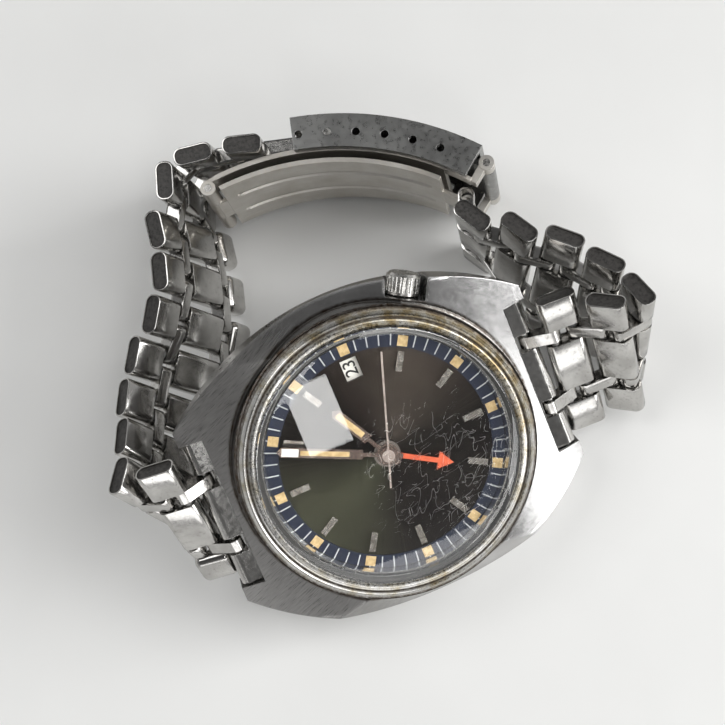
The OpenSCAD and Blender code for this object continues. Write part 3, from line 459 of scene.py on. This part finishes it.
# Crown
# A small knurled crown in a notch of the case, turned from steel and screwed to its stem, and the
# small turned parts of the same steel: tube, pins, bars and screws.
crown_steel, t, p = new_material("crown_steel")
t.links.new(ramp(t, noise(t, coordinates(t), 0.8 / MM, 6), (0.3, (0.4, 0.39, 0.37)),
                 (0.7, (0.74, 0.73, 0.7))), p.inputs["Base Color"])
p.inputs["Metallic"].default_value = 1
t.links.new(ramp(t, noise(t, coordinates(t), 2 / MM, 6), (0.3, 0.15), (0.7, 0.4)), p.inputs["Roughness"])
t.links.new(soft_edges(t, 0.05 * MM), p.inputs["Normal"])
for name in ("crown", "crown_tube", "stem", "lug_spring_bars", "clasp_bars", "leaf_pin", "rotor_bearing",
             "bridge_screws"):
    dress(nodes[name], crown_steel)

# Case back
# A steel back with a bevelled rim. It is turned on a lathe, so its marks run round the middle, and
# it is pressed against a rubber seal.
back_steel, t, p = new_material("back_steel")
at = coordinates(t, watch)
r, around, up = from_axis(t, at)
rings = t.nodes.new("ShaderNodeCombineXYZ")
t.links.new(r, rings.inputs[0])
turning = noise(t, rings.outputs[0], 9 / MM, 2)
t.links.new(ramp(t, noise(t, at, 0.3 / MM, 5), (0.3, (0.5, 0.49, 0.47)), (0.7, (0.7, 0.69, 0.68))),
            p.inputs["Base Color"])
p.inputs["Metallic"].default_value = 1
t.links.new(ramp(t, turning, (0.3, 0.2), (0.7, 0.38)), p.inputs["Roughness"])
t.links.new(bump(t, turning, 0.3, 0.01 * MM, soft_edges(t, 0.1 * MM)), p.inputs["Normal"])
dress(nodes["case_back"], back_steel)

# Movement
# Rhodium-plated plates with a fine grain, gilt wheels and a steel rotor, held in the closed case by
# a white plastic ring.
plate, t, p = flecked("plated_brass", 3, (0.5, 0.47, 0.4), (0.68, 0.65, 0.57), 0.36, detail=6, metallic=1)
for name in ("main_plate", "train_bridge", "balance_cock"):
    dress(nodes[name], plate)
gilt, t, p = flecked("gilt_brass", 1, (0.6, 0.42, 0.16), (0.8, 0.6, 0.28), 0.28, detail=5, metallic=1)
for name in ("barrel", "centre_wheel", "third_wheel", "fourth_wheel", "balance_wheel"):
    dress(nodes[name], gilt)
fine_steel, t, p = flecked("fine_steel", 1, 0.35, 0.55, 0.3, detail=5, metallic=1)
for name in ("escape_wheel", "pallet_fork", "hairspring", "rotor"):
    dress(nodes[name], fine_steel)
ring_plastic, t, p = flecked("ring_plastic", 1, 0.6, 0.7, 0.5)
dress(nodes["movement_ring"], ring_plastic)

# Bracelet
# Each row is folded from steel strip round two pins: two outer blocks with open ends, a wider block in
# the middle, a seam across each, and two narrow connector bars that hold on to the next row.
lug_pin = (20.9, -4.2)
strap_w, outer_w, slot_w, bar_w = 19, 4, 2.2, 1.5
block_t, bar_t = 2.3, 2
row_pins, bar_pins, clasp_bar_pins = 2.6, 3.2, 9
pin_r, worn_gap, cap_recess = 0.45, 0.3, 0.25
bar_at = strap_w / 2 - outer_w - slot_w / 2
# How each row turns from the one before it, in degrees: about its pin, along the bracelet, sideways.
bends = {1: ((-19, -21, 3), (-113, -21, -3), (10, -5, -3), (-6, -4, -3), (-11, 4, -3), (-2, 12, -3),
             (16, 6, -3), (7, 2, -3), (-10, 13, 1), (-83, 5.5, -3), (-7.5, -1, 2.5)),
         -1: ((0, -18, -3), (-38, -13, -3), (144, -15, 3), (25, -4, 2), (7, -5.5, 1), (-17.5, 11, 2.5),
              (0.5, 14.5, 2))}
clasp_bend = (-3, -6, 1)


def half_out(b):
    return turned("X", b[0] / 2) @ turned("Z", b[2] / 2) @ turned("Y", b[1] / 2)


def half_in(b):
    return turned("Y", b[1] / 2) @ turned("Z", b[2] / 2) @ turned("X", b[0] / 2)


def bar_reach(b):
    d = bar_at * (half_out(b) @ half_in(b) @ Vector((1, 0, 0)) - Vector((1, 0, 0))).length
    return math.sqrt(bar_pins ** 2 - d ** 2)


in_pins, out_pins = {}, {}
for side in (1, -1):
    out_pins[side, 0] = watch @ shift(0, side * lug_pin[0], lug_pin[1])
    for i, b in enumerate(bends[side], 1):
        in_pins[side, i] = (out_pins[side, i - 1] @ half_out(b)
                            @ shift(0, side * bar_reach(b), 0) @ half_in(b))
        out_pins[side, i] = in_pins[side, i] @ shift(0, side * row_pins, 0)
spring_bar = out_pins[1, 11] @ half_out(clasp_bend) @ shift(0, clasp_bar_pins, 0) @ half_in(clasp_bend)
hole_line_r, bar_angle, end_tube_angle, end_tube_at = 35.5, 5, -26, 32.2
clasp = spring_bar @ turned("X", -bar_angle) @ shift(0, math.sin(math.radians(bar_angle)) * hole_line_r,
                                                     -math.cos(math.radians(bar_angle)) * hole_line_r)
end_tube = clasp @ shift(0, -math.sin(math.radians(end_tube_angle)) * end_tube_at,
                         math.cos(math.radians(end_tube_angle)) * end_tube_at)


link_steel, t, p = new_material("link_steel")
at = coordinates(t)
wear = noise(t, at, 0.3 / MM, 5)
speck = noise(t, at, 1.8 / MM, 8, 0.7)
specks = ramp(t, speck, (0.55, 0), (0.75, 0.6))
bare = ramp(t, wear, (0.35, (0.4, 0.39, 0.375)), (0.65, (0.56, 0.55, 0.53)))
t.links.new(mixed(t, specks, bare, (0.1, 0.09, 0.075)), p.inputs["Base Color"])
p.inputs["Metallic"].default_value = 1
t.links.new(ramp(t, speck, (0.3, 0.07), (0.75, 0.28)), p.inputs["Roughness"])
t.links.new(bump(t, noise(t, coordinates(t, Matrix.Identity(4), (0.3, 6, 6)), 3 / MM, 3), 0.12, 0.01 * MM),
            p.inputs["Normal"])
# Near-black fill for the open ends and the seams of the links: dirt, and painted shade in place of the
# hollow inside of the folded ends.
dirt_and_painted_shade, t, p = new_material("dirt_and_painted_shade")
grime_and_shade = noise(t, coordinates(t), 2.5 / MM, 8, 0.7)
t.links.new(ramp(t, grime_and_shade, (0.35, (0.012, 0.011, 0.01)), (0.7, (0.09, 0.085, 0.08))),
            p.inputs["Base Color"])
t.links.new(ramp(t, grime_and_shade, (0.5, 0.2), (0.75, 0.8)), p.inputs["Metallic"])
p.inputs["Roughness"].default_value = 0.5
t.links.new(bump(t, grime_and_shade, 0.5, 0.05 * MM), p.inputs["Normal"])


def pick(o, wanted, kind="FACE"):
    """Selects in edit mode the faces, edges or vertices for which wanted(item) is true."""
    bpy.ops.object.mode_set(mode="OBJECT")
    for group in (o.data.vertices, o.data.edges, o.data.polygons):
        group.foreach_set("select", [False] * len(group))
    group = {"FACE": o.data.polygons, "EDGE": o.data.edges, "VERT": o.data.vertices}[kind]
    for item in group:
        item.select = bool(wanted(item))
    bpy.ops.object.mode_set(mode="EDIT")
    bpy.ops.mesh.select_mode(type=kind)


def folded_block(x0, x1, length, r, side, open_end=0, seam=True):
    """A block folded round two pins, with a seam across it and perhaps an open end, recessed and filled
    near-black: dirt, and painted shade of the hollow inside.
    """
    bpy.ops.mesh.primitive_cube_add(size=1, location=((x0 + x1) / 2 * MM, -side * length / 2 * MM, 0))
    o = bpy.context.object
    o.scale = ((x1 - x0) * MM, (length + 2 * r) * MM, 2 * r * MM)
    bpy.ops.object.transform_apply(location=True, rotation=True, scale=True)
    o.data.materials.append(link_steel)
    o.data.materials.append(dirt_and_painted_shade)
    co = lambda e, k: o.data.vertices[e.vertices[k]].co
    pick(o, lambda e: abs(co(e, 0).x - co(e, 1).x) > 1e-6, "EDGE")
    bpy.ops.mesh.bevel(offset=0.86 * r * MM, segments=7, affect="EDGES")
    pick(o, lambda e: abs(co(e, 0).x - co(e, 1).x) < 1e-6, "EDGE")
    bpy.ops.mesh.bevel(offset=0.05 * MM, segments=2, affect="EDGES")
    if open_end:
        pick(o, lambda f: f.normal.x * open_end > 0.99)
        bpy.ops.mesh.inset(thickness=0.13 * MM, use_boundary=True)
        inwards = (-open_end * cap_recess * MM, 0, 0)
        bpy.ops.mesh.extrude_region_move(TRANSFORM_OT_translate={"value": inwards})
        # The end's shallow recess gets the near-black fill: painted shade of the hollow end, with dirt.
        o.active_material_index = 1
        bpy.ops.object.material_slot_assign()
    middle = -side * length / 2 * MM
    if seam:
        bpy.ops.mesh.select_mode(type="VERT")
        for d in (-0.08, 0, 0.08):
            bpy.ops.mesh.select_all(action="SELECT")
            bpy.ops.mesh.bisect(plane_co=(0, middle + d * MM, 0), plane_no=(0, 1, 0))
        pick(o, lambda v: abs(v.co.y - middle) < 1e-6 and abs(v.co.z) > 0.98 * r * MM, "VERT")
        bpy.ops.transform.resize(value=(1, 1, 1 - 0.13 / r))
        pick(o, lambda f: abs(f.center.y - middle) < 0.07 * MM and 0.02 < abs(f.normal.y) < 0.98)
        o.active_material_index = 1
        bpy.ops.object.material_slot_assign()
    bpy.ops.object.mode_set(mode="OBJECT")
    return o


def joined(name, parts):
    clear_selection()
    for o in parts:
        o.select_set(True)
    bpy.context.view_layer.objects.active = parts[0]
    bpy.ops.object.join()
    bpy.context.object.name = name
    return bpy.context.object


def row_pin(y):
    bpy.ops.mesh.primitive_cylinder_add(vertices=24, radius=pin_r * MM, depth=(strap_w - 1) * MM,
                                        location=(0, y * MM, 0), rotation=(0, math.pi / 2, 0))
    o = bpy.context.object
    bpy.ops.object.transform_apply(location=True, rotation=True, scale=True)
    return o


def row_shape(side):
    half = strap_w / 2
    middle = half - outer_w - slot_w
    r = block_t / 2
    parts = [folded_block(-half, -half + outer_w, row_pins, r, side, -1),
             folded_block(-middle, middle, row_pins, r, side),
             folded_block(half - outer_w, half, row_pins, r, side, 1),
             row_pin(0), row_pin(-side * row_pins)]
    return joined("row", parts)


def bar_shape(length):
    o = folded_block(-bar_w / 2, bar_w / 2, length, bar_t / 2, -1, seam=False)
    for y in (0, length):
        bpy.ops.mesh.primitive_cylinder_add(vertices=32, radius=(pin_r + worn_gap) * MM,
                                            depth=4 * bar_w * MM, location=(0, y * MM, 0),
                                            rotation=(0, math.pi / 2, 0))
        cutter = bpy.context.object
        clear_selection()
        bpy.context.view_layer.objects.active = o
        o.select_set(True)
        hole = o.modifiers.new("hole", "BOOLEAN")
        hole.operation, hole.object, hole.solver = "DIFFERENCE", cutter, "EXACT"
        bpy.ops.object.modifier_apply(modifier="hole")
        bpy.data.objects.remove(cutter)
    return o


def between(m1, m2, x):
    """Midway between two pins at the distance x along both of them, with its y from one to the other."""
    p1, p2 = m1 @ Vector((x * MM, 0, 0)), m2 @ Vector((x * MM, 0, 0))
    y = (p2 - p1).normalized()
    along = (m1.to_3x3() @ Vector((1, 0, 0)) + m2.to_3x3() @ Vector((1, 0, 0)))
    z = along.cross(y).normalized()
    return Matrix.Translation((p1 + p2) / 2) @ Matrix((y.cross(z), y, z)).transposed().to_4x4()


def copied(shape, name):
    o = shape.copy()
    o.data = shape.data.copy()
    o.name = name
    bpy.context.scene.collection.objects.link(o)
    return o


def bar_pair(name, shape, m1, m2, length, m, body, *stands_for):
    parts = []
    for e in (-1, 1):
        o = copied(shape, name)
        o.matrix_world = between(m1, m2, e * bar_at) @ shift(0, -length / 2, 0)
        parts.append(o)
    clear_selection()
    for o in parts:
        o.select_set(True)
    bpy.context.view_layer.objects.active = parts[0]
    bpy.ops.object.transform_apply(location=True, rotation=True, scale=True)
    o = joined(name, parts)
    return place(o, Matrix.Identity(4), m, body, *stands_for)


rows = {side: row_shape(side) for side in (1, -1)}
short_bar, long_bar = bar_shape(bar_pins), bar_shape(clasp_bar_pins)
for side, letter, count in ((1, "a", 11), (-1, "b", 7)):
    for i in range(1, count + 1):
        body, node = f"row_{letter}{i}", f"link_{letter}{i}"
        place(copied(rows[side], f"row_{letter}{i}_blocks"), out_pins[side, i], None, body, node)
        last = i == count
        after = (spring_bar if side == 1 else end_tube) if last else in_pins[side, i + 1]
        to_clasp = last and side == 1
        bar_pair(f"row_{letter}{i}_bars", long_bar if to_clasp else short_bar, out_pins[side, i], after,
                 clasp_bar_pins if to_clasp else bar_pins, link_steel, body, node)
for o in (*rows.values(), short_bar, long_bar):
    bpy.data.objects.remove(o)

# End links
# Solid steel pieces that fill the ends of the case between the lugs, held by the spring bars, each
# with two connector bars.
end_steel = link_steel.copy()
end_steel.name = "end_link_steel"
t = end_steel.node_tree
p = t.nodes["Principled BSDF"]
t.links.new(soft_edges(t, 0.08 * MM), p.inputs["Normal"].links[0].from_node.inputs["Normal"])
dress(nodes["end_links"], end_steel)

# Clasp
# A fold-over clasp of stamped steel: a cover with a row of holes for the spring bar in each side
# wall, and two curved leaves in satin sheet. Two long channels are pressed into the lower leaf.
cover_steel, t, p = new_material("cover_steel")
at = coordinates(t, clasp)
speck = noise(t, at, 1.5 / MM, 8, 0.7)
t.links.new(ramp(t, noise(t, at, 0.25 / MM, 5), (0.3, (0.22, 0.22, 0.215)), (0.7, (0.36, 0.36, 0.35))),
            p.inputs["Base Color"])
p.inputs["Metallic"].default_value = 1
t.links.new(ramp(t, speck, (0.3, 0.22), (0.7, 0.42)), p.inputs["Roughness"])
t.links.new(bump(t, noise(t, coordinates(t, clasp @ turned("Z", 50), (0.3, 9, 9)), 4 / MM, 3), 0.2,
                 0.01 * MM, soft_edges(t, 0.12 * MM)), p.inputs["Normal"])
dress(nodes["clasp_cover"], cover_steel)

leaf_steel, t, p = new_material("leaf_satin")
at = coordinates(t, clasp)
satin = noise(t, coordinates(t, clasp, (0.4, 8, 8)), 2 / MM, 4)
cloud = noise(t, at, 0.2 / MM, 5)
tint = mixed(t, ramp(t, cloud, (0.4, 0), (0.65, 0.7)),
             ramp(t, satin, (0.3, (0.6, 0.575, 0.535)), (0.7, (0.7, 0.675, 0.63))), (0.5, 0.465, 0.41))
t.links.new(tint, p.inputs["Base Color"])
p.inputs["Metallic"].default_value = 1
t.links.new(ramp(t, satin, (0.3, 0.32), (0.7, 0.46)), p.inputs["Roughness"])
t.links.new(bump(t, satin, 0.15, 0.01 * MM, soft_edges(t, 0.08 * MM)), p.inputs["Normal"])
dress(nodes["upper_leaf"], leaf_steel)


def bent_sheet(x0, x1, r, thick, start, end, cuts=(), steps=80):
    """Sheet bent round the clasp's middle: its section, cut at some places, spun between two angles."""
    bpy.ops.mesh.primitive_plane_add(size=1, rotation=(math.pi / 2, 0, 0),
                                     location=((x0 + x1) / 2 * MM, 0, (r + thick / 2) * MM))
    o = bpy.context.object
    o.scale = ((x1 - x0) * MM, thick * MM, 1)
    bpy.ops.object.transform_apply(location=True, rotation=True, scale=True)
    bpy.ops.object.mode_set(mode="EDIT")
    for x in cuts:
        bpy.ops.mesh.select_all(action="SELECT")
        bpy.ops.mesh.bisect(plane_co=(x * MM, 0, 0), plane_no=(1, 0, 0))
    bpy.ops.mesh.select_all(action="SELECT")
    bpy.ops.mesh.spin(steps=steps, angle=math.radians(end - start), center=(0, 0, 0), axis=(-1, 0, 0))
    bpy.ops.mesh.select_all(action="SELECT")
    bpy.ops.mesh.remove_doubles(threshold=1e-7)
    bpy.ops.mesh.normals_make_consistent(inside=False)
    bpy.ops.object.mode_set(mode="OBJECT")
    o.matrix_world = turned("X", start)
    bpy.ops.object.transform_apply(location=True, rotation=True, scale=True)
    return o


def hinge_tube(angle, at, r, half, hole):
    bpy.ops.mesh.primitive_cylinder_add(vertices=48, radius=r * MM, depth=2 * half * MM,
                                        rotation=(0, math.pi / 2, 0))
    o = bpy.context.object
    bpy.ops.object.transform_apply(location=True, rotation=True, scale=True)
    pick(o, lambda f: abs(f.normal.x) > 0.9)
    bpy.ops.mesh.inset(thickness=(r - hole) * MM)
    bpy.ops.mesh.extrude_region_shrink_fatten(TRANSFORM_OT_shrink_fatten={"value": -0.9 * MM})
    bpy.ops.object.mode_set(mode="OBJECT")
    o.matrix_world = turned("X", angle) @ shift(0, 0, at)
    bpy.ops.object.transform_apply(location=True, rotation=True, scale=True)
    return o


clear_selection()
channel = (2.35, 2.65, 3.35, 3.65)
rounded_end = 0.62
sheet = bent_sheet(-7.5, 7.5, 31.9, 0.6, -20, 29.7, tuple(s * c for s in (-1, 1) for c in channel))


def in_channel(f):
    x, y, z = f.center
    angle = math.degrees(math.atan2(-y, z))
    end = min(angle + 17.5, 27.5 - angle)
    if end < 0 or f.normal.y * y + f.normal.z * z > -0.5 * math.hypot(y, z):
        return False
    low, high = (channel[1], channel[2]) if end < rounded_end else (channel[0], channel[3])
    return low * MM < abs(x) < high * MM


pick(sheet, in_channel)
bpy.ops.mesh.inset(thickness=0.18 * MM, depth=-0.3 * MM)
bpy.ops.object.mode_set(mode="OBJECT")
leaf = joined("lower_leaf_pressed", [
    sheet,
    bent_sheet(-2.82, 2.82, 31.96, 0.48, 29.2, 32, steps=6),
    bent_sheet(-2.34, 2.34, 31.96, 0.48, -26, -19.5, steps=12),
    hinge_tube(32, 32.95, 0.95, 2.88, 0.51),
    hinge_tube(end_tube_angle, end_tube_at, 0.85, 2.4, 0.48)])
place(leaf, clasp, leaf_steel, "lower_leaf", "lower_leaf")

# Floor and light
# A plain pale table. A small bright window stands high in front, soft lights low in front and to the
# right, two more overhead, and the room darkens upwards, so that the steel shows light and dark.
bpy.ops.mesh.primitive_plane_add(size=1.6)
floor = bpy.context.object
floor.name = "floor"
pale_floor, t, p = new_material("pale_floor")
t.links.new(ramp(t, noise(t, coordinates(t), 30, 3), (0.3, (0.82, 0.82, 0.805)),
                 (0.7, (0.86, 0.86, 0.845))), p.inputs["Base Color"])
p.inputs["Roughness"].default_value = 0.6
dress(floor, pale_floor)
world = bpy.data.worlds.new("room")
bpy.context.scene.world = world
world.use_nodes = True
sky = world.node_tree
sky_at = sky.nodes.new("ShaderNodeTexCoord")
height = split(sky, sky_at.outputs["Generated"])[2]
sky.links.new(ramp(sky, height, (0.0, 0.6), (0.25, 0.5), (0.5, 0.2), (0.9, 0.07)),
              sky.nodes["Background"].inputs["Color"])
sky.nodes["Background"].inputs["Strength"].default_value = 1


def soft_light(name, towards, distance, size, brightness):
    d = bpy.data.lights.new(name, "AREA")
    d.shape = "RECTANGLE"
    d.size, d.size_y = size
    d.energy = brightness * math.pi * size[0] * size[1]
    o = bpy.data.objects.new(name, d)
    bpy.context.scene.collection.objects.link(o)
    at = Vector(towards).normalized() * distance
    o.matrix_world = Matrix.Translation(at) @ (-at).to_track_quat("-Z", "Y").to_matrix().to_4x4()


soft_light("window", (0.19, -0.52, 0.79), 0.7, (0.095, 0.15), 7)
soft_light("long_side", (0.1, -0.9, 0.28), 0.9, (1.2, 0.3), 1.9)
soft_light("right_side", (0.95, 0.1, 0.45), 0.9, (0.4, 0.5), 9)
soft_light("bright_side", (0.83, -0.47, 0.31), 0.8, (0.3, 0.2), 6)
soft_light("overhead", (-0.5, 0.2, 0.85), 0.9, (0.4, 0.5), 3)
soft_light("high_right", (0.5, 0.1, 0.86), 0.9, (0.5, 0.5), 2.4)
bpy.context.scene.view_settings.view_transform = "Standard"
